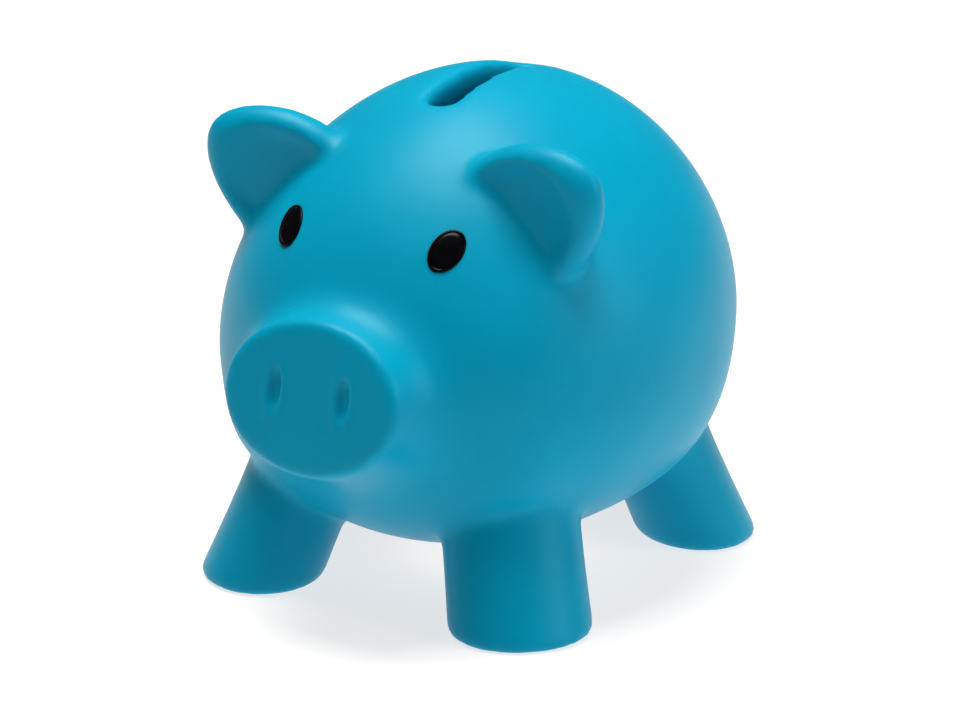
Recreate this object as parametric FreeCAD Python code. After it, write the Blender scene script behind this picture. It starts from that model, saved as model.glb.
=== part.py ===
"""Vinyl piggy bank: a hollow moulded skin, two glossy eyes and a belly stopper.

Frame: +Z up, the snout points to -Y, the pig's left side is +X. The origin is on the ground,
under the middle of the bank's own box. Lengths are in millimetres and angles in degrees.
"""

import FreeCAD, Part
import math
import os

Placement = FreeCAD.Placement
Rotation = FreeCAD.Rotation
Vector = FreeCAD.Vector

UP = Vector(0, 0, 1)
LEFT = Vector(1, 0, 0)
REAR = Vector(0, 1, 0)
SIDES = (("left", 1), ("right", -1))

# ---- driving dimensions ------------------------------------------------------------------

# body: an egg, fuller below and in front, tipped a little nose-down
BODY_HALF_WIDTH = 45.2
BODY_HALF_LENGTH = 52.0
BODY_RISE = 43.2
BODY_DROP = 40.7
BODY_CENTRE_HEIGHT = 48.3
BODY_PITCH = 10.3
BODY_NARROWING_UP = 0.085
BODY_NARROWING_REAR = 0.07
WALL = 2.4

# snout: an oval disc at the end of a flared neck, with two nostril dimples
SNOUT_HALF_WIDTH = 16.9
SNOUT_HALF_HEIGHT = 12.7
SNOUT_REACH = 5.2
SNOUT_DROP = 3.6
SNOUT_TILT = 11.5
SNOUT_EDGE_ROUND = 2.4
SNOUT_NECK_LENGTH = 16.0
SNOUT_NECK_FLARE = 5.0
NOSTRIL_SPACING = 14.0
NOSTRIL_HALF_WIDTH = 1.4
NOSTRIL_HALF_HEIGHT = 3.8
NOSTRIL_DEPTH = 1.2

# legs: short oval stumps that splay outwards and flare into the belly
FRONT_FOOT_INSET = 17.3
FRONT_FOOT_SETBACK = 19.2
FRONT_FOOT_HALF_WIDTH = 12.9
FRONT_FOOT_HALF_DEPTH = 11.3
REAR_FOOT_INSET = 16.2
REAR_FOOT_SETBACK = 22.4
REAR_FOOT_HALF_WIDTH = 12.8
REAR_FOOT_HALF_DEPTH = 11.0
LEG_SPLAY = 17.5
LEG_ROOT_DROP = 18.3
LEG_NARROWING = 1.4
LEG_ROOT_FLARE = 4.6
SOLE_ROUND = 1.8

# ears: thick scoops that open to the front
EAR_INSET = 19.4
EAR_SETBACK = 25.0
EAR_BELOW_CROWN = 17.9
EAR_LEAN = 62.0
EAR_HALF_LENGTH = 15.4
EAR_HALF_WIDTH = 11.6
EAR_HALF_DEPTH = 8.4
EAR_RIM = 3.8
EAR_CUP_DEPTH = 7.5
EAR_RIM_ROUND = 1.2

# tail: a ring-shaped curl moulded on the rump
TAIL_BELOW_CROWN = 33.5
TAIL_RING_RADIUS = 4.6
TAIL_ROD_RADIUS = 2.3
TAIL_PROUD = 1.2

# coin slot: rolled-in lips along the middle of the back
SLOT_LENGTH = 33.0
SLOT_WIDTH = 5.4
SLOT_SETBACK = 0.0
SLOT_LIP_DEPTH = 8.0
SLOT_LIP_WALL = 2.2

# eyes: oval inserts in shallow seats
EYE_OFFSET = 16.1
EYE_BELOW_CROWN = 22.9
EYE_HALF_WIDTH = 2.9
EYE_HALF_HEIGHT = 4.2
EYE_LEAN = 30.0
EYE_SEAT_DEPTH = 1.1
EYE_PROUD = 0.35
EYE_EDGE_ROUND = 0.3
EYE_SIDE_GAP = 0.05

# belly stopper and the hole that it closes
HOLE_RADIUS = 13.5
COLLAR_WALL = 2.4
COLLAR_HEIGHT = 4.0
FLANGE_LIP = 3.3
FLANGE_EDGE = 1.415
FLANGE_SIDE_GAP = 0.5
SEAT_GAP = 0.1
RUNNING_CLEARANCE = 0.06
STOPPER_WALL = 1.8
STOPPER_NECK_LENGTH = 5.4
GRIP_SIDE_WALL = 3.0
GRIP_BAR_WIDTH = 3.2
GRIP_BAR_SINK = 0.6

# ---- derived sizes -----------------------------------------------------------------------

CROWN_HEIGHT = BODY_CENTRE_HEIGHT + BODY_RISE
FRONT_FOOT = (BODY_HALF_WIDTH - FRONT_FOOT_INSET, FRONT_FOOT_SETBACK - BODY_HALF_LENGTH,
              FRONT_FOOT_HALF_WIDTH, FRONT_FOOT_HALF_DEPTH)
REAR_FOOT = (BODY_HALF_WIDTH - REAR_FOOT_INSET, BODY_HALF_LENGTH - REAR_FOOT_SETBACK,
             REAR_FOOT_HALF_WIDTH, REAR_FOOT_HALF_DEPTH)
SNOUT_FACE_Y = -(BODY_HALF_LENGTH + SNOUT_REACH)
SNOUT_HEIGHT = BODY_CENTRE_HEIGHT - SNOUT_DROP
EAR_PLACE = (BODY_HALF_WIDTH - EAR_INSET, EAR_SETBACK - BODY_HALF_LENGTH, CROWN_HEIGHT - EAR_BELOW_CROWN)
TAIL_HEIGHT = CROWN_HEIGHT - TAIL_BELOW_CROWN
EYE_HEIGHT = CROWN_HEIGHT - EYE_BELOW_CROWN
LEG_HEIGHT = BODY_CENTRE_HEIGHT - LEG_ROOT_DROP
FLANGE_RADIUS = HOLE_RADIUS + FLANGE_LIP
RECESS_RADIUS = FLANGE_RADIUS + FLANGE_SIDE_GAP
STOPPER_RADIUS = HOLE_RADIUS - RUNNING_CLEARANCE
GRIP_RADIUS = HOLE_RADIUS - GRIP_SIDE_WALL
CUTTER_REACH = 2 * BODY_HALF_LENGTH


# ---- basic solids ------------------------------------------------------------------------

def outward(solid):
    """Return the solid with its faces pointing out."""
    if solid.Volume < 0:
        solid.reverse()
    return solid


def true_box(shape):
    """The shape's tight box; the plain one also holds a curved face's control points."""
    return shape.optimalBoundingBox(False)


def egg(inset):
    """The body's egg, with every half size smaller by inset."""
    ball = Part.makeSphere(1)
    ball.rotate(Vector(), UP, 90)
    surface = ball.toNurbs().Faces[0].Surface
    for i in range(1, surface.NbUPoles + 1):
        for j in range(1, surface.NbVPoles + 1):
            pole = surface.getPole(i, j)
            height = pole.z * ((BODY_RISE if pole.z > 0 else BODY_DROP) - inset)
            size = 1 - BODY_NARROWING_UP * height / BODY_DROP
            across = pole.x * (BODY_HALF_WIDTH - inset) * (1 - BODY_NARROWING_REAR * pole.y)
            along = pole.y * (BODY_HALF_LENGTH - inset)
            surface.setPole(i, j, Vector(across * size, along * size, height))
    solid = outward(Part.Solid(Part.Shell([surface.toShape()])))
    solid.rotate(Vector(), LEFT, BODY_PITCH)
    solid.translate(UP * BODY_CENTRE_HEIGHT)
    return solid


def ellipsoid(half_x, half_y, half_z):
    """An ellipsoid about the origin."""
    scale = FreeCAD.Matrix()
    scale.scale(half_x, half_y, half_z)
    return Part.makeSphere(1).transformGeometry(scale)


def oval_wire(half_width, half_height):
    """An ellipse about the origin in the XY plane, half_width along X."""
    longer = max(half_width, half_height)
    shorter = min(half_width, half_height)
    edge = Part.Ellipse(Vector(), longer, shorter).toShape()
    if half_height > half_width:
        edge.rotate(Vector(), UP, 90)
    return Part.Wire([edge])


def placed(shape, origin, x_axis, normal):
    """The shape moved so that its X and Z axes lie along x_axis and normal, at origin."""
    moved = shape.copy()
    turn = Rotation(x_axis, Vector(), normal, "ZXY")
    moved.Placement = Placement(origin, turn).multiply(moved.Placement)
    return moved


def oval_prism(half_width, half_height, low, high):
    """An oval cylinder along Z between two heights."""
    wire = oval_wire(half_width, half_height)
    wire.translate(UP * low)
    return Part.Face(wire).extrude(UP * (high - low))


def stadium_prism(length, width, low, high):
    """A round-ended slot shape, long along Y, between two heights."""
    radius = width / 2
    straight = length - width
    solid = Part.makeBox(width, straight, high - low, Vector(-radius, -straight / 2, low))
    for end in (-straight / 2, straight / 2):
        solid = solid.fuse(Part.makeCylinder(radius, high - low, Vector(0, end, low)))
    return solid.removeSplitter()


def skin_point(body, start, direction):
    """Where a ray first meets the body, and the body's outward normal there."""
    ray = Part.makeLine(start, start + direction * (2 * CUTTER_REACH))
    inside = body.common(ray)
    point = min((v.Point for v in inside.Vertexes), key=lambda p: p.distanceToPoint(start))
    face = body.Faces[0]
    return point, face.normalAt(*face.Surface.parameter(point))


# ---- sub-shapes of the skin --------------------------------------------------------------

def leg(side, foot, inset):
    """One leg above a foot of (offset, reach, half width, half depth); side is +1 on the left."""
    offset, reach, half_width, half_depth = foot
    fore_aft = math.copysign(1, reach)
    lean = math.tan(math.radians(LEG_SPLAY))
    tangent = Vector(side, -fore_aft, 0)
    sections = []
    for share in (0, 0.3, 0.55, 0.8, 1.0):
        height = LEG_HEIGHT * share
        swell = LEG_ROOT_FLARE * share ** 4 - LEG_NARROWING * share - inset
        centre = Vector(side * (offset - lean * height), reach - fore_aft * lean * height, height)
        wire = oval_wire(half_width + swell, half_depth + swell)
        sections.append(placed(wire, centre, tangent, UP))
    solid = Part.makeLoft(sections, True, False)
    if inset:
        return solid.cut(Part.makeBox(4 * CUTTER_REACH, 4 * CUTTER_REACH, inset,
                                      Vector(-2 * CUTTER_REACH, -2 * CUTTER_REACH, 0)))
    soles = [edge for edge in solid.Edges if edge.BoundBox.ZMax < SOLE_ROUND / 2]
    return solid.makeFillet(SOLE_ROUND, soles)


def legs(inset):
    """All four legs."""
    return [leg(side, foot, inset) for _, side in SIDES for foot in (FRONT_FOOT, REAR_FOOT)]


def snout_frame():
    """Centre of the snout's disc, and the way that it faces."""
    tilt = math.radians(SNOUT_TILT)
    return Vector(0, SNOUT_FACE_Y, SNOUT_HEIGHT), Vector(0, -math.cos(tilt), math.sin(tilt))


def snout(inset):
    """The snout's neck and disc, reaching back into the body."""
    sections = []
    for share in (0, 0.35, 0.7, 1.0):
        swell = SNOUT_NECK_FLARE * share ** 2 - inset
        wire = oval_wire(SNOUT_HALF_WIDTH + swell, SNOUT_HALF_HEIGHT + swell)
        wire.translate(UP * -(inset + SNOUT_NECK_LENGTH * share))
        sections.append(wire)
    solid = outward(Part.makeLoft(sections, True, False))
    if not inset:
        rim = [edge for edge in solid.Edges if edge.BoundBox.ZMin > -SNOUT_EDGE_ROUND / 2]
        solid = solid.makeFillet(SNOUT_EDGE_ROUND, rim)
    centre, facing = snout_frame()
    return placed(solid, centre, LEFT, facing)


def nostrils():
    """Two upright oval dimples, as cutters."""
    dimple = ellipsoid(NOSTRIL_HALF_WIDTH, NOSTRIL_HALF_HEIGHT, NOSTRIL_DEPTH)
    centre, facing = snout_frame()
    return [placed(dimple, centre + LEFT * (side * NOSTRIL_SPACING / 2), LEFT, facing) for _, side in SIDES]


def ear(side):
    """One ear: a thick rounded scoop, hollowed from the front."""
    solid = ellipsoid(EAR_HALF_WIDTH, EAR_HALF_DEPTH, EAR_HALF_LENGTH)
    cup = ellipsoid(EAR_HALF_WIDTH - EAR_RIM, EAR_CUP_DEPTH, EAR_HALF_LENGTH - EAR_RIM)
    cup.translate(Vector(0, -EAR_HALF_DEPTH, 0))
    solid = solid.cut(cup)
    rim = [edge for edge in solid.Edges if edge.BoundBox.YMax < -EAR_HALF_DEPTH / 4 and edge.Length > EAR_RIM]
    solid = solid.makeFillet(EAR_RIM_ROUND, rim)
    solid.rotate(Vector(), REAR, side * EAR_LEAN)
    offset, reach, height = EAR_PLACE
    solid.translate(Vector(side * offset, reach, height))
    return solid


def tail(body):
    """The curl on the rump: a ring half sunk in the body."""
    behind = Vector(0, CUTTER_REACH, TAIL_HEIGHT)
    root, normal = skin_point(body, behind, REAR * -1)
    return Part.makeTorus(TAIL_RING_RADIUS, TAIL_ROD_RADIUS, root + normal * TAIL_PROUD, normal)


def slot_lips(body):
    """The lips' outline inside the bank, a block that the slot is cut through."""
    crown = true_box(body).ZMax
    block = stadium_prism(SLOT_LENGTH + 2 * SLOT_LIP_WALL, SLOT_WIDTH + 2 * SLOT_LIP_WALL,
                          crown - SLOT_LIP_DEPTH, crown + WALL)
    block.translate(REAR * SLOT_SETBACK)
    return block


def seat_height(body):
    """Height of the flange's seat, an edge thickness above the belly all round the recess."""
    below = UP * -CUTTER_REACH
    rim = [LEFT * RECESS_RADIUS, REAR * RECESS_RADIUS, REAR * -RECESS_RADIUS]
    return max(skin_point(body, below + place, UP)[0].z for place in rim) + FLANGE_EDGE


def stopper_seat(seat):
    """The thickened ring and collar around the belly hole, before the hole is cut."""
    ring = Part.makeCylinder(RECESS_RADIUS + WALL, seat + WALL)
    collar = Part.makeCylinder(HOLE_RADIUS + COLLAR_WALL, seat + COLLAR_HEIGHT)
    return ring.fuse(collar)


def eye_frame(body, side):
    """Where one eye sits on the head, and the skin's normal there."""
    before = Vector(side * EYE_OFFSET, -CUTTER_REACH, EYE_HEIGHT)
    return skin_point(body, before, REAR)


def eye_prism(half_width, half_height, low, high, body, side):
    """An oval prism standing on the eye's place, its top leaning outwards."""
    centre, normal = eye_frame(body, side)
    across = UP.cross(normal).normalize()
    prism = oval_prism(half_width, half_height, low, high)
    prism.rotate(Vector(), UP, -side * EYE_LEAN)
    return placed(prism, centre, across, normal)


# ---- pieces ------------------------------------------------------------------------------

def make_body_shell(body):
    """The moulded skin: body, snout, ears, legs and tail in one hollow piece."""
    outside = body.fuse(legs(0) + [snout(0), tail(body)] + [ear(side) for _, side in SIDES])
    cavity = egg(WALL).fuse(legs(WALL) + [snout(WALL)])
    seat = seat_height(body)
    cavity = cavity.cut([slot_lips(body), stopper_seat(seat)])
    skin = outside.cut(nostrils() + [cavity])

    slot = stadium_prism(SLOT_LENGTH, SLOT_WIDTH, BODY_CENTRE_HEIGHT, 2 * CUTTER_REACH)
    slot.translate(REAR * SLOT_SETBACK)
    hole = Part.makeCylinder(HOLE_RADIUS, BODY_CENTRE_HEIGHT)
    recess = Part.makeCylinder(RECESS_RADIUS, seat)
    seats = [eye_prism(EYE_HALF_WIDTH, EYE_HALF_HEIGHT, -EYE_SEAT_DEPTH, CUTTER_REACH, body, side)
             for _, side in SIDES]
    return skin.cut([slot, hole, recess] + seats)


def make_eye(body, side):
    """One glossy oval eye, with a softened front edge."""
    solid = eye_prism(EYE_HALF_WIDTH - EYE_SIDE_GAP, EYE_HALF_HEIGHT - EYE_SIDE_GAP,
                      -EYE_SEAT_DEPTH, EYE_PROUD, body, side)
    centre, normal = eye_frame(body, side)
    front = [edge for edge in solid.Edges if (edge.CenterOfMass - centre).dot(normal) > 0
             and len(edge.Vertexes) == 1]
    return solid.makeFillet(EYE_EDGE_ROUND, front)


def make_stopper(body):
    """The soft stopper: a flange shaped to the belly, a cup-shaped neck and a grip bar."""
    top = seat_height(body) - SEAT_GAP
    flange = Part.makeCylinder(FLANGE_RADIUS, top).common(body)
    neck = Part.makeCylinder(STOPPER_RADIUS, STOPPER_NECK_LENGTH, UP * top)
    cup = Part.makeCylinder(STOPPER_RADIUS - STOPPER_WALL, STOPPER_NECK_LENGTH, UP * top)
    grip = Part.makeCylinder(GRIP_RADIUS, top - STOPPER_WALL)
    bar_low = true_box(body).ZMin + GRIP_BAR_SINK
    bar = Part.makeBox(2 * GRIP_RADIUS, GRIP_BAR_WIDTH, top - bar_low,
                       Vector(-GRIP_RADIUS, -GRIP_BAR_WIDTH / 2, bar_low))
    return flange.fuse(neck).cut([cup, grip.cut(bar)])


def main():
    """Build every piece, centre them on the origin and write one file each."""
    body = egg(0)
    pieces = {"body_shell": make_body_shell(body), "belly_stopper": make_stopper(body)}
    for name, side in SIDES:
        pieces["eye_" + name] = make_eye(body, side)

    box = true_box(pieces["body_shell"])
    shift = REAR * (-(box.YMin + box.YMax) / 2)
    os.makedirs("parts", exist_ok=True)
    for name, shape in pieces.items():
        shape.translate(shift)
        shape.exportStep("parts/" + name + ".step")
        print(name, "valid", shape.isValid(), "solids", len(shape.Solids), "volume", round(shape.Volume, 1))
    print("box", box, "shift", shift)


main()
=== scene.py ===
"""Looks of the vinyl piggy bank: skin, eyes, stopper and studio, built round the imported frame.

The skin is modelled as separate blanks (body, legs, snout, ears, tail) that are fused into one
skin, softened along the joins and then cut for the eyes, the coin slot and the belly hole.
"""

import logging
import math
from dataclasses import dataclass, field
from enum import Enum
from typing import Callable

import bmesh
import bpy
from mathutils import Matrix, Vector
from mathutils.bvhtree import BVHTree


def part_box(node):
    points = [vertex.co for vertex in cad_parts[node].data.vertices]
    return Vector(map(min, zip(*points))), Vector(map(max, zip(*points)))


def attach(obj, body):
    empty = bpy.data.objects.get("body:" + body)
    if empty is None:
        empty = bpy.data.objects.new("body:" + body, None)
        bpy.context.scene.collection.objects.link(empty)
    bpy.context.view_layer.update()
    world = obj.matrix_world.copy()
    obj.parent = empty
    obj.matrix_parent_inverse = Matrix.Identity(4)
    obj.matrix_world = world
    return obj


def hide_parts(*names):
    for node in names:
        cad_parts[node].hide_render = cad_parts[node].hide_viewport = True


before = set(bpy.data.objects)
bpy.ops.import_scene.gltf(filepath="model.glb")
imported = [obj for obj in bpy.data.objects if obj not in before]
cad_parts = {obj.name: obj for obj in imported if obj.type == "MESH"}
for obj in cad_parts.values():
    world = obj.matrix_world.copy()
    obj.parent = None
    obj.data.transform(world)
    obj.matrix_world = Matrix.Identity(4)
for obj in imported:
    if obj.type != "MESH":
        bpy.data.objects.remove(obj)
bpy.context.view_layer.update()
LOG = logging.getLogger("piggy_bank")

MM = 0.001
UP = Vector((0.0, 0.0, 1.0))
REAR = Vector((0.0, 1.0, 0.0))
RIGHT_ANGLE = math.pi / 2

TOUCH = 0.01 * MM  # what lies this close to a plane lies on it
SMOOTHING = 0.5  # how far one round of smoothing moves a point
SHADE_ANGLE = math.radians(40)  # sharper edges than this stay sharp
EVEN_STEPS = (0.0, 0.2, 0.4, 0.6, 0.8, 1.0)  # shares of a blank's length
EAR_STEPS = (-0.45, -0.2, 0.0, 0.1, 0.2, 0.3, 0.4, 0.5, 0.6, 0.7, 0.78, 0.85, 0.91, 0.955, 0.985, 1.0)

BODY_CENTRE_HEIGHT = 48.3 * MM
EYE_OFFSET = 16.1 * MM
EYE_HEIGHT = 68.6 * MM


class Side(Enum):
    """The pig's own left and right, as the sign of X."""

    LEFT = 1
    RIGHT = -1


class Pick(Enum):
    """What a selection in edit mode picks."""

    VERTS = "VERT"
    EDGES = "EDGE"
    FACES = "FACE"


# ---- working with operators --------------------------------------------------------------


def deselect() -> None:
    """Deselect every object and leave edit mode."""
    if bpy.context.object and bpy.context.object.mode != "OBJECT":
        bpy.ops.object.mode_set(mode="OBJECT")
    bpy.ops.object.select_all(action="DESELECT")


def activate(*objects: bpy.types.Object) -> None:
    """Select only these objects; the first one becomes the active one."""
    deselect()
    for item in objects:
        item.select_set(True)
    bpy.context.view_layer.objects.active = objects[0]


def settle(name: str) -> bpy.types.Object:
    """Name the new primitive and put its place, turn and scale into its mesh."""
    item = bpy.context.object
    item.name = item.data.name = name
    bpy.ops.object.transform_apply(location=True, rotation=True, scale=True)
    return item


def apply_modifier(item: bpy.types.Object, kind: str, **values: object) -> None:
    """Add one modifier, set it up and apply it.

    Args:
        item: The object to change.
        kind: The modifier's type, such as "BEVEL".
        values: The modifier's properties.
    """
    activate(item)
    step = item.modifiers.new(kind.lower(), kind)
    for key, value in values.items():
        setattr(step, key, value)
    bpy.ops.object.modifier_apply(modifier=step.name)


def edit(item: bpy.types.Object) -> None:
    """Open the object in edit mode with nothing selected."""
    activate(item)
    bpy.ops.object.mode_set(mode="EDIT")
    bpy.ops.mesh.select_all(action="DESELECT")


def pick(item: bpy.types.Object, what: Pick, wanted: Callable[[Vector], bool]) -> None:
    """Select the parts of an open mesh whose middle passes a test.

    Args:
        item: The object that is open in edit mode.
        what: Whether vertices, edges or faces are picked.
        wanted: The test, given the middle of each part.
    """
    bpy.ops.mesh.select_mode(type=what.value)
    mesh = bmesh.from_edit_mesh(item.data)
    parts = {Pick.VERTS: mesh.verts, Pick.EDGES: mesh.edges, Pick.FACES: mesh.faces}[what]
    for part in parts:
        if what is Pick.VERTS:
            middle = part.co
        elif what is Pick.EDGES:
            middle = (part.verts[0].co + part.verts[1].co) / 2
        else:
            middle = part.calc_center_median()
        if wanted(middle):
            part.select_set(True)
    mesh.select_flush_mode()
    bmesh.update_edit_mesh(item.data)


def close_edit(item: bpy.types.Object) -> None:
    """Turn every face outwards and leave edit mode."""
    bpy.ops.mesh.select_all(action="SELECT")
    bpy.ops.mesh.normals_make_consistent(inside=False)
    bpy.ops.object.mode_set(mode="OBJECT")


def carve(item: bpy.types.Object, cutter: bpy.types.Object, operation: str = "DIFFERENCE") -> None:
    """Cut, join or intersect the object with a cutter, and remove the cutter."""
    apply_modifier(item, "BOOLEAN", object=cutter, operation=operation, solver="EXACT")
    bpy.data.objects.remove(cutter)


def surface_tree(item: bpy.types.Object) -> BVHTree:
    """A search tree over the object's surface, for distances to it."""
    mesh = item.data
    return BVHTree.FromPolygons([v.co for v in mesh.vertices], [p.vertices for p in mesh.polygons])


def ease(share: float) -> float:
    """Smooth step from 0 to 1."""
    share = min(max(share, 0.0), 1.0)
    return share * share * (3 - 2 * share)


# ---- blanks ------------------------------------------------------------------------------


@dataclass(frozen=True)
class Section:
    """One cross-section of a grown blank."""

    centre: Vector
    size: float


def grow_blank(name: str, half_sizes: tuple[float, float], turn: Matrix, sections: list[Section],
               vertices: int = 64, corner: float = 0.0) -> bpy.types.Object:
    """Grow a closed blank from an oval or round-cornered face, section by section.

    Args:
        name: The object's name.
        half_sizes: The first face's half sizes along its own X and Y.
        turn: How the face is turned; its own Z is the way that it faces.
        sections: The centres and relative sizes, the first one being the face itself.
        vertices: Points round an oval.
        corner: The corners' radius, which makes the face a rectangle instead of an oval.

    Returns:
        The new object, its place in its mesh.
    """
    deselect()
    first = sections[0]
    if corner:
        bpy.ops.mesh.primitive_plane_add(size=2 * first.size, location=first.centre,
                                         rotation=turn.to_euler())
    else:
        bpy.ops.mesh.primitive_circle_add(vertices=vertices, radius=first.size, fill_type="NGON",
                                          location=first.centre, rotation=turn.to_euler())
    bpy.context.object.scale = (half_sizes[0], half_sizes[1], 1.0)
    blank = settle(name)
    edit(blank)
    bpy.ops.mesh.select_all(action="SELECT")
    if corner:
        bpy.ops.mesh.bevel(offset=corner, segments=8, affect="VERTICES")
        bpy.ops.mesh.select_all(action="SELECT")
    for last, section in zip(sections, sections[1:]):
        bpy.ops.mesh.extrude_region_move(
            TRANSFORM_OT_translate={"value": section.centre - last.centre})
        ratio = section.size / last.size
        bpy.ops.transform.resize(value=(ratio, ratio, ratio), center_override=section.centre)
    close_edit(blank)
    return blank


def oval_prism(name: str, half_sizes: tuple[float, float], turn: Matrix, base: Vector,
               height: float) -> bpy.types.Object:
    """An oval prism that stands on base, along the turned Z."""
    top = base + turn.to_3x3() @ (UP * height)
    return grow_blank(name, half_sizes, turn, [Section(base, 1.0), Section(top, 1.0)])


def facing(direction: Vector) -> Matrix:
    """A turn whose Z is the direction and whose X stays level."""
    normal = direction.normalized()
    across = UP.cross(normal).normalized() if abs(normal.z) < 0.999 else Vector((1.0, 0.0, 0.0))
    turn = Matrix((across, normal.cross(across), normal)).transposed()
    return turn.to_4x4()


@dataclass(frozen=True)
class Egg:
    """The body's egg: its half sizes, place and tapers, in metres."""

    centre: Vector
    half_width: float = 45.2 * MM
    half_length: float = 52.0 * MM
    rise: float = 43.2 * MM
    drop: float = 40.7 * MM
    pitch: float = math.radians(10.3)
    narrowing_up: float = 0.085
    narrowing_rear: float = 0.07

    def build(self, name: str, inset: float = 0.0, segments: int = 128) -> bpy.types.Object:
        """Model the egg from a ball: stretched, tapered by a lattice and tipped nose-down.

        Args:
            name: The object's name.
            inset: How far every half size is reduced, for the inside of the wall.
            segments: Facets round the ball.

        Returns:
            The egg.
        """
        deselect()
        bpy.ops.mesh.primitive_uv_sphere_add(
            segments=segments, ring_count=segments // 2, radius=1.0,
            scale=(self.half_width - inset, self.half_length - inset, self.drop - inset))
        egg = settle(name)
        edit(egg)
        pick(egg, Pick.VERTS, lambda p: p.z > 0)
        stretch = (self.rise - inset) / (self.drop - inset)
        bpy.ops.transform.resize(value=(1.0, 1.0, stretch), center_override=(0.0, 0.0, 0.0))
        close_edit(egg)
        self.taper(egg)
        edit(egg)
        bpy.ops.mesh.select_all(action="SELECT")
        bpy.ops.transform.rotate(value=-self.pitch, orient_axis="X", center_override=(0.0, 0.0, 0.0))
        bpy.ops.transform.translate(value=self.centre)
        close_edit(egg)
        return egg

    def taper(self, egg: bpy.types.Object) -> None:
        """Narrow the egg upwards and towards the rear with a two-point lattice."""
        deselect()
        bpy.ops.object.add(type="LATTICE")
        cage = bpy.context.object
        cage.data.points_u = cage.data.points_v = cage.data.points_w = 2
        cage.data.interpolation_type_u = cage.data.interpolation_type_v = "KEY_LINEAR"
        cage.data.interpolation_type_w = "KEY_LINEAR"
        reach = max(self.half_length, self.rise, self.drop)
        cage.scale = (2 * reach, 2 * reach, 2 * reach)
        for point in cage.data.points:
            rear, high = math.copysign(1, point.co.y), math.copysign(1, point.co.z)
            upward = 1 - self.narrowing_up * high * reach / self.drop
            rearward = 1 - self.narrowing_rear * rear * reach / self.half_length
            point.co_deform = Vector((point.co.x * upward * rearward, point.co.y * upward, point.co.z))
        bpy.context.view_layer.update()
        apply_modifier(egg, "LATTICE", object=cage)
        bpy.data.objects.remove(cage)


# ---- the skin ----------------------------------------------------------------------------


@dataclass(frozen=True)
class Crease:
    """A crease between two surfaces that is to be rounded."""

    first: BVHTree
    second: BVHTree
    reach: float
    rounds: int
    hold: Callable[[Vector], float] = lambda point: 1.0


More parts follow.
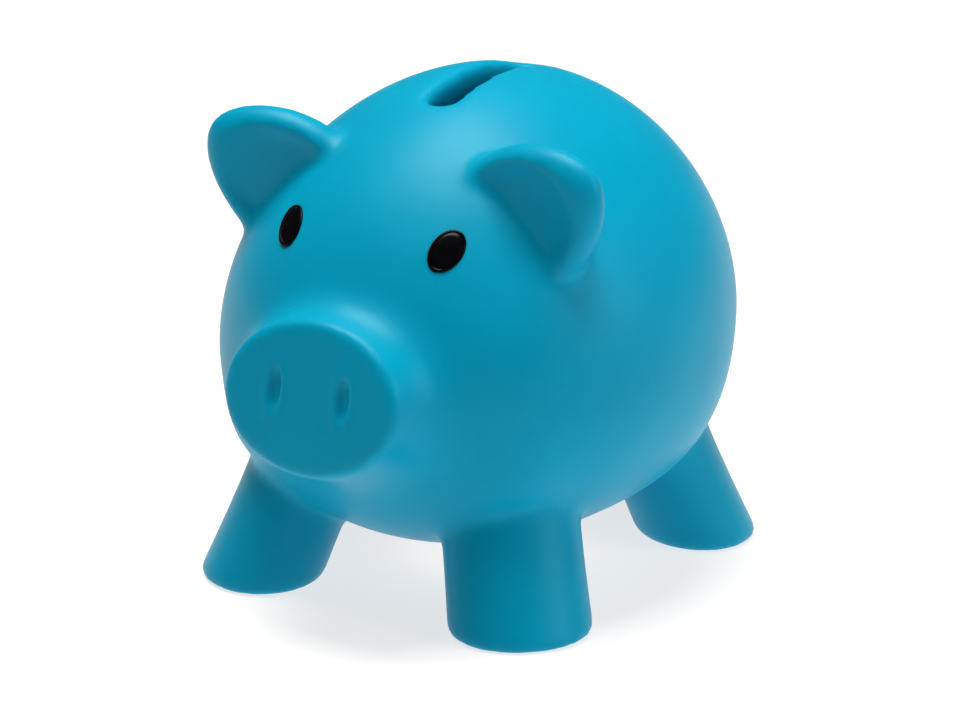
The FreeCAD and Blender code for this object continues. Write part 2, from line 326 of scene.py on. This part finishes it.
@dataclass
class Skin:
    """The moulded vinyl skin: one hollow piece with snout, ears, legs and tail."""

    egg: Egg
    wall: float = 2.4 * MM
    voxel: float = 0.8 * MM

    # snout
    snout_half_width: float = 18.2 * MM
    snout_half_height: float = 13.9 * MM
    snout_reach: float = 5.2 * MM
    snout_height: float = 44.7 * MM
    snout_tilt: float = math.radians(11.5)
    snout_neck: float = 16.0 * MM
    snout_flare: float = 0.30
    snout_edge: float = 2.0 * MM
    snout_edge_facets: int = 8
    nostril_spacing: float = 14.0 * MM
    nostril_rise: float = 0.8 * MM
    nostril_half_width: float = 1.25 * MM
    nostril_half_height: float = 3.4 * MM
    nostril_depth: float = 1.0 * MM
    nostril_border: float = 0.12 * MM
    nostril_mouth: float = 1.35
    nostril_border_middle: float = 1.55
    nostril_border_spread: float = 0.75
    nostril_area: float = 2.6
    nostril_reach: float = 2.0 * MM

    # legs: offset and reach of the soles, and their half sizes
    front_foot: tuple[float, float] = (27.9 * MM, -33.1 * MM)
    rear_foot: tuple[float, float] = (29.0 * MM, 29.6 * MM)
    front_foot_half: tuple[float, float] = (12.9 * MM, 11.3 * MM)
    rear_foot_half: tuple[float, float] = (13.2 * MM, 11.3 * MM)
    leg_splay: float = math.radians(17.5)
    leg_height: float = 28.0 * MM
    leg_narrowing: float = 0.10
    leg_flare: float = 0.1
    sole_edge: float = 1.8 * MM
    sole_edge_facets: int = 6

    # fuller lower flanks and cheeks: place, reach and swell
    flank: tuple[float, float, float] = (37.0 * MM, 10.0 * MM, 24.0 * MM)
    flank_reach: float = 26.0 * MM
    flank_swell: float = 1.4 * MM
    cheek: tuple[float, float, float] = (27.9 * MM, -36.8 * MM, 27.0 * MM)
    cheek_reach: float = 14.0 * MM
    cheek_swell: float = 1.3 * MM

    # ears
    ear_root: Vector = field(default_factory=lambda: Vector((21.8, -24.9, 70.3)) * MM)
    ear_lean: float = math.radians(58.5)
    ear_nod: float = 3.7 * MM
    ear_half_width: float = 13.7 * MM
    ear_half_depth: float = 7.3 * MM
    ear_height: float = 21.5 * MM
    ear_shift: float = -0.6 * MM
    ear_roundness: float = 1.8
    ear_rim: float = 2.0 * MM
    ear_floor: float = -28.2 * MM
    ear_cup_corner: float = 4.0 * MM
    ear_cup_set: float = 1.3 * MM
    ear_cup_set_fade: float = 0.6
    ear_tip: float = 0.03

    # tail
    tail_height: float = 58.0 * MM
    tail_curl: float = 4.6 * MM
    tail_rod: float = 2.3 * MM
    tail_root_depth: float = 2.2 * MM
    tail_reach: float = 4.6 * MM
    tail_turns: float = 1.35
    tail_steps: int = 40
    tail_curl_closing: float = 0.35
    tail_taper: float = 0.45

    # coin slot
    slot_length: float = 33.0 * MM
    slot_width: float = 5.4 * MM
    slot_depth: float = 8.0 * MM
    slot_lip: float = 2.2 * MM
    slot_overcut: float = 1.5 * MM
    slot_above: float = 5.0 * MM

    # belly hole
    hole_radius: float = 13.5 * MM
    recess_radius: float = 17.3 * MM
    seat_height: float = 12.2 * MM
    collar_height: float = 4.0 * MM

    # how each crease is rounded: reach, and rounds of smoothing
    leg_crease: tuple[float, int] = (4.5 * MM, 22)
    snout_crease: tuple[float, int] = (15.0 * MM, 260)
    snout_crease_start: float = 5.0 * MM
    tail_crease: tuple[float, int] = (3.0 * MM, 12)
    slot_crease: tuple[float, int] = (4.5 * MM, 30)
    ear_crease: tuple[float, int] = (4.5 * MM, 30)
    cup_root_crease: tuple[float, int] = (2.0 * MM, 5)
    cup_rim_crease: tuple[float, int] = (3.0 * MM, 14)
    last_rounds: int = 5

    def place(self, x: float, y: float, z: float) -> Vector:
        """A point given about the middle of the egg's footprint, moved to the frame's origin."""
        return Vector((x, y + self.egg.centre.y, z))

    def leg(self, side: Side, front: bool, inset: float = 0.0) -> bpy.types.Object:
        """Grow one leg from its sole up into the belly.

        Args:
            side: The pig's left or right.
            front: Whether it is a front leg.
            inset: How far its walls and sole are drawn in, for the inside of the wall.

        Returns:
            The leg's blank.
        """
        offset, reach = self.front_foot if front else self.rear_foot
        half_width, half_depth = self.front_foot_half if front else self.rear_foot_half
        fore_aft = math.copysign(1.0, reach)
        lean = math.tan(self.leg_splay)
        sections = []
        for share in EVEN_STEPS:
            height = inset + (self.leg_height - inset) * share
            centre = self.place(side.value * (offset - lean * height), reach - fore_aft * lean * height,
                                height)
            size = 1 - self.leg_narrowing * share + self.leg_flare * share ** 3
            sections.append(Section(centre, size))
        turn = Matrix.Rotation(side.value * -fore_aft * math.pi / 4, 4, "Z")
        name = f"leg_{'front' if front else 'rear'}_{side.name.lower()}"
        blank = grow_blank(name, (half_width - inset, half_depth - inset), turn, sections)
        if not inset:
            edit(blank)
            pick(blank, Pick.EDGES, lambda p: p.z < TOUCH)
            bpy.ops.mesh.bevel(offset=self.sole_edge, segments=self.sole_edge_facets)
            close_edit(blank)
        return blank

    def snout_frame(self) -> tuple[Vector, Vector]:
        """The middle of the snout's disc, and the way that it faces."""
        centre = self.place(0.0, -self.egg.half_length - self.snout_reach, self.snout_height)
        return centre, Vector((0.0, -math.cos(self.snout_tilt), math.sin(self.snout_tilt)))

    def snout(self, inset: float = 0.0) -> bpy.types.Object:
        """Grow the snout from its disc back into the head."""
        centre, normal = self.snout_frame()
        sections = []
        for share in EVEN_STEPS:
            middle = centre - normal * (inset + self.snout_neck * share)
            sections.append(Section(middle, 1 + self.snout_flare * share ** 2))
        half_sizes = (self.snout_half_width - inset, self.snout_half_height - inset)
        blank = grow_blank("snout", half_sizes, facing(normal), sections, 96)
        if not inset:
            edit(blank)
            pick(blank, Pick.EDGES, lambda p: (p - centre).dot(normal) > -TOUCH)
            bpy.ops.mesh.bevel(offset=self.snout_edge, segments=self.snout_edge_facets)
            close_edit(blank)
        return blank

    def ear_sections(self, side: Side, trim: float, root: float, nod: float,
                     medial: float) -> list[Section]:
        """Centres and sizes of an ear, from inside the head out to its rounded tip.

        Args:
            side: The pig's left or right.
            trim: How much lower than the ear the grown form is.
            root: Where the root's middle is along Y.
            nod: How far the tip leans forward.
            medial: How far the root is set towards the middle of the head.

        Returns:
            The sections.
        """
        outward = Vector((side.value * math.sin(self.ear_lean), 0.0, math.cos(self.ear_lean)))
        along = Vector((side.value * math.cos(self.ear_lean), 0.0, -math.sin(self.ear_lean)))
        base = self.place(side.value * self.ear_root.x, root, self.ear_root.z)
        height = self.ear_height - trim
        sections = []
        for share in EAR_STEPS:
            risen = max(share, 0.0)
            size = (1 - risen ** self.ear_roundness) ** (1 / self.ear_roundness)
            shift = self.ear_shift * min(2 * risen, 1.0) - medial * ease(1 - share / self.ear_cup_set_fade)
            centre = base + outward * (height * share) + along * shift + REAR * (-nod * share)
            sections.append(Section(centre, max(size, self.ear_tip)))
        return sections

    def ear(self, side: Side) -> tuple[bpy.types.Object, BVHTree, BVHTree]:
        """Grow one ear and scoop out its cup.

        Returns:
            The ear, and search trees of its outside and of its cup.
        """
        turn = Matrix.Rotation(side.value * self.ear_lean, 4, "Y")
        half_sizes = (self.ear_half_width, self.ear_half_depth)
        blank = grow_blank(f"ear_{side.name.lower()}", half_sizes, turn,
                           self.ear_sections(side, 0.0, self.ear_root.y, self.ear_nod, 0.0))
        outside = surface_tree(blank)
        middle = self.ear_floor - self.ear_half_depth
        cup = grow_blank("cup", (self.ear_half_width - self.ear_rim, self.ear_half_depth), turn,
                         self.ear_sections(side, self.ear_rim, middle, 0.0, self.ear_cup_set),
                         corner=self.ear_cup_corner)
        inside = surface_tree(cup)
        carve(blank, cup)
        return blank, outside, inside

    def tail(self) -> bpy.types.Object:
        """Grow the tail: a tapering rod that curls once against the rump."""
        deselect()
        rump = self.place(0.0, self.egg.half_length - self.tail_root_depth, self.tail_height)
        bend = self.tail_turns * 2 * math.pi / self.tail_steps
        sections = []
        for step in range(self.tail_steps + 1):
            share = step / self.tail_steps
            angle = -RIGHT_ANGLE + bend * step
            radius = self.tail_curl * (1 - self.tail_curl_closing * share)
            curl = Vector((radius * math.cos(angle), self.tail_reach * share, radius * math.sin(angle)))
            sections.append(Section(rump + curl, 1.0 - self.tail_taper * share))
        bpy.ops.mesh.primitive_circle_add(vertices=24, radius=self.tail_rod, fill_type="NGON",
                                          location=sections[0].centre, rotation=(0.0, RIGHT_ANGLE, 0.0))
        rod = settle("tail")
        edit(rod)
        bpy.ops.mesh.select_all(action="SELECT")
        for last, section in zip(sections, sections[1:]):
            bpy.ops.mesh.extrude_region_move(
                TRANSFORM_OT_translate={"value": section.centre - last.centre})
            ratio = section.size / last.size
            bpy.ops.transform.rotate(value=bend, orient_axis="Y", center_override=section.centre)
            bpy.ops.transform.resize(value=(ratio, ratio, ratio), center_override=section.centre)
        close_edit(rod)
        return rod

    def stadium(self, name: str, grow: float, low: float, high: float) -> bpy.types.Object:
        """A round-ended block over the coin slot, long along Y.

        Args:
            name: The object's name.
            grow: How far it stands out round the slot.
            low: The height of its underside.
            high: The height of its top.

        Returns:
            The block.
        """
        radius = self.slot_width / 2 + grow
        straight = self.slot_length - self.slot_width
        centre = self.place(0.0, 0.0, low)
        block = oval_prism(name, (radius, radius), Matrix.Identity(4), centre, high - low)
        edit(block)
        for end in (-1, 1):
            bpy.ops.mesh.select_all(action="DESELECT")
            pick(block, Pick.VERTS, lambda p: (p.y - centre.y) * end > TOUCH)
            bpy.ops.transform.translate(value=(0.0, end * straight / 2, 0.0))
        close_edit(block)
        return block

    def build(self, seats: list[bpy.types.Object]) -> bpy.types.Object:
        """Fuse the blanks into one skin, soften its creases and cut its openings.

        Args:
            seats: The cutters of the eyes' seats.

        Returns:
            The finished skin.
        """
        crown = self.egg.centre.z + self.egg.rise
        body = self.egg.build("skin")
        self.swell(body, self.flank, self.flank_reach, self.flank_swell)
        self.swell(body, self.cheek, self.cheek_reach, self.cheek_swell)
        head_tree = surface_tree(body)
        slot = self.stadium("slot", 0.0, crown - self.slot_depth - self.slot_overcut,
                            crown + self.slot_above)
        slot_tree = surface_tree(slot)
        carve(body, slot)
        legs = [self.leg(side, front) for side in Side for front in (True, False)]
        leg_trees = [surface_tree(leg) for leg in legs]
        snout = self.snout()
        snout_tree = surface_tree(snout)
        ears = [self.ear(side) for side in Side]
        tail = self.tail()
        tail_tree = surface_tree(tail)

        activate(body, snout, tail, *legs, *(ear for ear, _, _ in ears))
        bpy.ops.object.join()
        apply_modifier(body, "REMESH", mode="VOXEL", voxel_size=self.voxel)
        LOG.info("skin fused: %d points", len(body.data.vertices))

        disc, normal = self.snout_frame()
        creases = [Crease(head_tree, tree, *self.leg_crease) for tree in leg_trees]
        creases.append(Crease(head_tree, snout_tree, *self.snout_crease,
                              lambda p: ease((disc - p).dot(normal) / self.snout_crease_start)))
        creases.append(Crease(head_tree, tail_tree, *self.tail_crease))
        creases.append(Crease(head_tree, slot_tree, *self.slot_crease))
        for _, outside, cup in ears:
            creases.append(Crease(head_tree, outside, *self.ear_crease))
            creases.append(Crease(head_tree, cup, *self.cup_root_crease))
            creases.append(Crease(outside, cup, *self.cup_rim_crease))
        for crease in creases:
            self.soften(body, crease)
        apply_modifier(body, "SMOOTH", factor=SMOOTHING, iterations=self.last_rounds)
        for side in Side:
            self.press_nostril(body, side)
        self.hollow(body, seats)
        activate(body)
        bpy.ops.object.shade_smooth_by_angle(angle=SHADE_ANGLE)
        LOG.info("skin done: %d faces", len(body.data.polygons))
        return body

    def weigh(self, skin: bpy.types.Object, weight_at: Callable[[Vector], float]) -> str:
        """Give the skin one vertex group whose weights follow a function of place.

        Args:
            skin: The object to weigh.
            weight_at: The weight at a point; nothing is set where it is zero.

        Returns:
            The group's name.
        """
        group = skin.vertex_groups.new(name="weight")
        for vertex in skin.data.vertices:
            weight = weight_at(vertex.co)
            if weight > 0:
                group.add([vertex.index], weight, "REPLACE")
        return group.name

    def soften(self, skin: bpy.types.Object, crease: Crease) -> None:
        """Round one crease of the fused skin, fading out with distance from it."""

        def weight_at(point: Vector) -> float:
            near = crease.first.find_nearest(point, crease.reach)
            far = crease.second.find_nearest(point, crease.reach) if near[0] else near
            return ease(1 - (near[3] + far[3]) / crease.reach) * crease.hold(point) if far[0] else 0.0

        group = self.weigh(skin, weight_at)
        apply_modifier(skin, "SMOOTH", factor=SMOOTHING, iterations=crease.rounds, vertex_group=group)
        bpy.ops.object.vertex_group_remove(all=True)

    def swell(self, skin: bpy.types.Object, middle: tuple[float, float, float], reach: float,
              height: float) -> None:
        """Fill the skin out a little round one spot, on both sides.

        Args:
            skin: The object to change.
            middle: The spot, on the pig's left.
            reach: How far from the spot the swelling fades out.
            height: How far it stands out.
        """
        spots = [self.place(side.value * middle[0], middle[1], middle[2]) for side in Side]
        group = self.weigh(skin, lambda p: max(ease(1 - (p - spot).length / reach) for spot in spots))
        apply_modifier(skin, "DISPLACE", strength=height, mid_level=0.0, vertex_group=group)
        bpy.ops.object.vertex_group_remove(all=True)

    def press_nostril(self, skin: bpy.types.Object, side: Side) -> None:
        """Press one upright oval dimple with a soft raised border into the snout's disc."""
        centre, normal = self.snout_frame()
        upright = normal.cross(Vector((1.0, 0.0, 0.0))).normalized()
        upright *= math.copysign(1.0, upright.z)
        across = Vector((side.value * self.nostril_spacing / 2, 0.0, 0.0))
        middle = centre + across + upright * self.nostril_rise

        def spread(point: Vector) -> float:
            """How far a point is from the nostril's middle; the oval itself is at 1."""
            away = point - middle
            if abs(away.dot(normal)) > self.nostril_reach:
                return math.inf
            return math.hypot(away.x / self.nostril_half_width,
                              away.dot(upright) / self.nostril_half_height)

        def dimple(far: float) -> float:
            return ease(self.nostril_mouth - far)

        def border(far: float) -> float:
            return ease(1 - abs(far - self.nostril_border_middle) / self.nostril_border_spread)

        edit(skin)
        pick(skin, Pick.FACES, lambda p: spread(p) < self.nostril_area)
        bpy.ops.mesh.subdivide(number_cuts=2)
        close_edit(skin)
        for profile, height in ((dimple, -self.nostril_depth), (border, self.nostril_border)):
            group = self.weigh(skin, lambda p: profile(spread(p)))
            apply_modifier(skin, "DISPLACE", strength=height, mid_level=0.0, vertex_group=group)
            bpy.ops.object.vertex_group_remove(all=True)

    def hollow(self, skin: bpy.types.Object, seats: list[bpy.types.Object]) -> None:
        """Cut the inside, the belly hole with its recess, and the eyes' seats.

        Args:
            skin: The fused and softened skin.
            seats: The cutters of the eyes' seats.
        """
        crown = self.egg.centre.z + self.egg.rise
        inside = self.egg.build("inside", self.wall, 64)
        for side in Side:
            for front in (True, False):
                carve(inside, self.leg(side, front, self.wall), "UNION")
        carve(inside, self.snout(self.wall), "UNION")
        carve(inside, self.stadium("lips", self.slot_lip, crown - self.slot_depth, crown + self.wall))
        carve(inside, self.disc("ring", self.recess_radius + self.wall, 0.0, self.seat_height + self.wall))
        carve(inside, self.disc("collar", self.hole_radius + self.wall, 0.0,
                                self.seat_height + self.collar_height))
        carve(inside, self.disc("recess", self.recess_radius, 0.0, self.seat_height), "UNION")
        carve(inside, self.disc("hole", self.hole_radius, 0.0, self.egg.centre.z), "UNION")
        activate(inside, *seats)
        bpy.ops.object.join()
        carve(skin, inside)

    def disc(self, name: str, radius: float, low: float, high: float) -> bpy.types.Object:
        """A round block about the egg's axis, between two heights."""
        base = self.place(0.0, 0.0, low)
        return oval_prism(name, (radius, radius), Matrix.Identity(4), base, high - low)


# ---- eyes and stopper --------------------------------------------------------------------


@dataclass(frozen=True)
class Eye:
    """One glossy oval eye in its shallow seat."""

    side: Side
    spot: Vector
    normal: Vector
    half_width: float = 2.85 * MM
    half_height: float = 4.15 * MM
    seat_depth: float = 1.1 * MM
    seat_gap: float = 0.05 * MM
    lean: float = math.radians(30.0)
    shade_angle: float = math.radians(50.0)

    def turn(self) -> Matrix:
        """The oval's turn: facing outwards, its top leaning away from the middle."""
        return facing(self.normal) @ Matrix.Rotation(-self.side.value * self.lean, 4, "Z")

    def seat(self) -> bpy.types.Object:
        """The cutter of the seat in the skin."""
        grown = (self.half_width + self.seat_gap, self.half_height + self.seat_gap)
        base = self.spot - self.normal * self.seat_depth
        return oval_prism("seat", grown, self.turn(), base, 4 * self.seat_depth)

    def build(self) -> bpy.types.Object:
        """Grow the eye: an edge ring, a fine groove and a domed middle."""
        profile = ((-1.1, 1.0), (0.02, 1.0), (0.14, 0.97), (0.19, 0.93), (0.18, 0.88), (0.08, 0.86),
                   (0.08, 0.84), (0.17, 0.81), (0.23, 0.68), (0.27, 0.5), (0.29, 0.3), (0.3, 0.1))
        sections = [Section(self.spot + self.normal * (height * MM), size) for height, size in profile]
        eye = grow_blank(f"eye_gloss_{self.side.name.lower()}", (self.half_width, self.half_height),
                         self.turn(), sections, 96)
        activate(eye)
        bpy.ops.object.shade_smooth_by_angle(angle=self.shade_angle)
        return eye


@dataclass(frozen=True)
class Stopper:
    """The soft belly stopper: flange, hollow neck and a sunk grip bar."""

    skin: Skin
    flange_radius: float = 16.8 * MM
    flange_top: float = 12.1 * MM
    neck_radius: float = 13.44 * MM
    neck_length: float = 5.4 * MM
    wall: float = 1.8 * MM
    grip_radius: float = 10.5 * MM
    bar_width: float = 3.2 * MM
    bar_sink: float = 0.6 * MM
    belly_gap: float = 0.05 * MM
    edge: float = 0.3 * MM
    edge_facets: int = 3
    edge_angle: float = math.radians(50.0)

    def build(self) -> bpy.types.Object:
        """Cut the flange to the belly's curve, then add the neck, the cup and the grip."""
        egg = self.skin.egg
        low = egg.centre.z - egg.drop
        stopper = self.skin.disc("stopper", self.flange_radius, 0.0, self.flange_top)
        carve(stopper, egg.build("belly", self.belly_gap), "INTERSECT")
        neck_top = self.flange_top + self.neck_length
        neck = self.skin.disc("neck", self.neck_radius, self.flange_top - self.wall, neck_top)
        carve(stopper, neck, "UNION")
        cup = self.skin.disc("cup", self.neck_radius - self.wall, self.flange_top, neck_top + self.wall)
        carve(stopper, cup)
        grip = self.skin.disc("grip", self.grip_radius, 0.0, self.flange_top - self.wall)
        deselect()
        centre = self.skin.place(0.0, 0.0, low + self.bar_sink + self.flange_top / 2)
        bpy.ops.mesh.primitive_cube_add(size=1.0, location=centre)
        bpy.context.object.scale = (3 * self.grip_radius, self.bar_width, self.flange_top)
        carve(grip, settle("bar"))
        carve(stopper, grip)
        apply_modifier(stopper, "BEVEL", width=self.edge, segments=self.edge_facets,
                       limit_method="ANGLE", angle_limit=self.edge_angle, use_clamp_overlap=True)
        activate(stopper)
        bpy.ops.object.shade_smooth_by_angle(angle=SHADE_ANGLE)
        return stopper


# ---- finishes ----------------------------------------------------------------------------


@dataclass(frozen=True)
class Finish:
    """A procedural plastic: broad mottling between two tones over a fine grain."""

    name: str
    deep: tuple[float, float, float]
    pale: tuple[float, float, float]
    roughness: float
    rough_spread: float = 0.04
    mottle_scale: float = 55.0
    grain_scale: float = 2600.0
    grain_strength: float = 0.12
    grain_depth: float = 0.05 * MM
    subsurface: float = 0.0
    subsurface_radius: tuple[float, float, float] = (0.3, 0.5, 1.0)
    subsurface_scale: float = 3.0 * MM
    specular: float = 0.5
    specular_tint: tuple[float, float, float] = (1.0, 1.0, 1.0)

    def build(self) -> bpy.types.Material:
        """Make the material's nodes."""
        material = bpy.data.materials.new(self.name)
        material.use_nodes = True
        nodes, links = material.node_tree.nodes, material.node_tree.links
        shader = nodes["Principled BSDF"]
        shader.inputs["Subsurface Weight"].default_value = self.subsurface
        shader.inputs["Subsurface Radius"].default_value = self.subsurface_radius
        shader.inputs["Subsurface Scale"].default_value = self.subsurface_scale
        shader.inputs["Specular IOR Level"].default_value = self.specular
        shader.inputs["Specular Tint"].default_value = (*self.specular_tint, 1.0)

        place = nodes.new("ShaderNodeTexCoord")
        mottle = nodes.new("ShaderNodeTexNoise")
        mottle.inputs["Scale"].default_value = self.mottle_scale
        mottle.inputs["Detail"].default_value = 4.0
        links.new(place.outputs["Object"], mottle.inputs["Vector"])
        tones = nodes.new("ShaderNodeValToRGB")
        ends = zip(tones.color_ramp.elements, (0.3, 0.7), (self.deep, self.pale))
        for element, position, colour in ends:
            element.position = position
            element.color = (*colour, 1.0)
        links.new(mottle.outputs["Fac"], tones.inputs["Fac"])
        links.new(tones.outputs["Color"], shader.inputs["Base Color"])

        gloss = nodes.new("ShaderNodeMapRange")
        gloss.inputs["To Min"].default_value = self.roughness - self.rough_spread
        gloss.inputs["To Max"].default_value = self.roughness + self.rough_spread
        links.new(mottle.outputs["Fac"], gloss.inputs["Value"])
        links.new(gloss.outputs["Result"], shader.inputs["Roughness"])

        grain = nodes.new("ShaderNodeTexNoise")
        grain.inputs["Scale"].default_value = self.grain_scale
        grain.inputs["Detail"].default_value = 2.0
        links.new(place.outputs["Object"], grain.inputs["Vector"])
        bump = nodes.new("ShaderNodeBump")
        bump.inputs["Strength"].default_value = self.grain_strength
        bump.inputs["Distance"].default_value = self.grain_depth
        links.new(grain.outputs["Fac"], bump.inputs["Height"])
        links.new(bump.outputs["Normal"], shader.inputs["Normal"])
        return material


VINYL = Finish("vinyl_skin", deep=(0.0, 0.285, 0.46), pale=(0.0, 0.305, 0.49), roughness=0.4,
               subsurface=0.2, specular=0.15, specular_tint=(0.5, 1.0, 1.0))
GLOSS = Finish("eye_gloss", deep=(0.001, 0.001, 0.0015), pale=(0.002, 0.002, 0.003), roughness=0.24,
               mottle_scale=400.0, grain_strength=0.03, specular=0.08)
MILKY = Finish("stopper_plastic", deep=(0.72, 0.74, 0.73), pale=(0.78, 0.80, 0.79), roughness=0.42,
               subsurface=0.15)
FLOOR = Finish("floor", deep=(0.36, 0.36, 0.36), pale=(0.37, 0.37, 0.37), roughness=0.8,
               mottle_scale=3.0, grain_scale=400.0, grain_strength=0.0, specular=0.1)


# ---- studio ------------------------------------------------------------------------------


@dataclass(frozen=True)
class Softbox:
    """One soft square lamp that points at the bank."""

    name: str
    place: tuple[float, float, float]
    size: float
    power: float
    colour: tuple[float, float, float] = (1.0, 1.0, 1.0)

    def build(self, target: Vector) -> None:
        """Add the lamp."""
        deselect()
        bpy.ops.object.light_add(type="AREA", location=self.place)
        lamp = bpy.context.object
        lamp.name = self.name
        lamp.data.size = self.size
        lamp.data.energy = self.power
        lamp.data.color = self.colour
        lamp.rotation_euler = (target - Vector(self.place)).to_track_quat("-Z", "Y").to_euler()


@dataclass(frozen=True)
class Studio:
    """A plain pale floor, soft white light all round, and the camera."""

    azimuth: float = math.radians(31.91)
    elevation: float = math.radians(16.99)
    camera_place: tuple[float, float, float] = (0.30594, -0.49141, 0.21408)
    focal_length: float = 123.74
    floor_size: float = 6.0
    floor_glow: float = 0.72
    floor_glow_colour: tuple[float, float, float] = (1.0, 0.975, 0.965)
    aim: tuple[float, float, float] = (0.0, 0.0, 0.045)
    clip: tuple[float, float] = (0.01, 20.0)
    sky: float = 0.06
    softboxes: tuple[Softbox, ...] = (
        Softbox("overhead", (-0.1, 0.02, 1.0), 0.55, 14.5, (1.0, 0.985, 0.92)),
        Softbox("side", (1.1, 0.15, 0.5), 0.7, 5.5),
    )

    def build(self) -> bpy.types.Object:
        """Add the floor, the lamps, the sky and the camera.

        Returns:
            The floor.
        """
        deselect()
        bpy.ops.mesh.primitive_plane_add(size=self.floor_size)
        floor = settle("floor")
        floor.data.materials.append(FLOOR.build())
        glow = floor.data.materials[0].node_tree.nodes["Principled BSDF"]
        glow.inputs["Emission Color"].default_value = (*self.floor_glow_colour, 1.0)
        glow.inputs["Emission Strength"].default_value = self.floor_glow
        for softbox in self.softboxes:
            softbox.build(Vector(self.aim))
        scene = bpy.context.scene
        scene.view_settings.view_transform = "Standard"
        world = bpy.data.worlds.new("studio")
        scene.world = world
        world.use_nodes = True
        backdrop = world.node_tree.nodes["Background"]
        backdrop.inputs["Color"].default_value = (1.0, 1.0, 1.0, 1.0)
        backdrop.inputs["Strength"].default_value = self.sky

        back = Vector((math.sin(self.azimuth) * math.cos(self.elevation),
                       -math.cos(self.azimuth) * math.cos(self.elevation), math.sin(self.elevation)))
        deselect()
        turn = (-back).to_track_quat("-Z", "Y").to_euler()
        bpy.ops.object.camera_add(location=self.camera_place, rotation=turn)
        camera = bpy.context.object
        camera.name = "camera"
        camera.data.lens = self.focal_length
        camera.data.clip_start, camera.data.clip_end = self.clip
        scene.camera = camera
        return floor


# ---- assembly ----------------------------------------------------------------------------


def place_piece(piece: bpy.types.Object, node: str, body: str, finish: Finish) -> None:
    """Give a finished piece its material and its body, and hide the CAD node that it stands for."""
    piece.data.materials.clear()
    piece.data.materials.append(finish.build())
    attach(piece, body)
    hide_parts(node)
    LOG.info("%s: %d faces, replaces %s", piece.name, len(piece.data.polygons), node)


def main() -> None:
    """Build the studio and every piece."""
    logging.basicConfig(level=logging.INFO, format="%(name)s: %(message)s")
    low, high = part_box("belly_stopper")
    middle = (low + high) / 2
    egg = Egg(centre=Vector((middle.x, middle.y, BODY_CENTRE_HEIGHT)))
    skin = Skin(egg)
    head = egg.build("head")
    tree = surface_tree(head)
    bpy.data.objects.remove(head)
    eyes = []
    for side in Side:
        start = skin.place(side.value * EYE_OFFSET, -2 * egg.half_length, EYE_HEIGHT)
        spot, normal, _, _ = tree.ray_cast(start, REAR)
        eyes.append(Eye(side, spot, normal))

    place_piece(skin.build([eye.seat() for eye in eyes]), "body_shell", "root", VINYL)
    for eye in eyes:
        place_piece(eye.build(), f"eye_{eye.side.name.lower()}", "root", GLOSS)
    place_piece(Stopper(skin).build(), "belly_stopper", "stopper", MILKY)
    Studio().build()


if __name__ == "__main__":
    main()
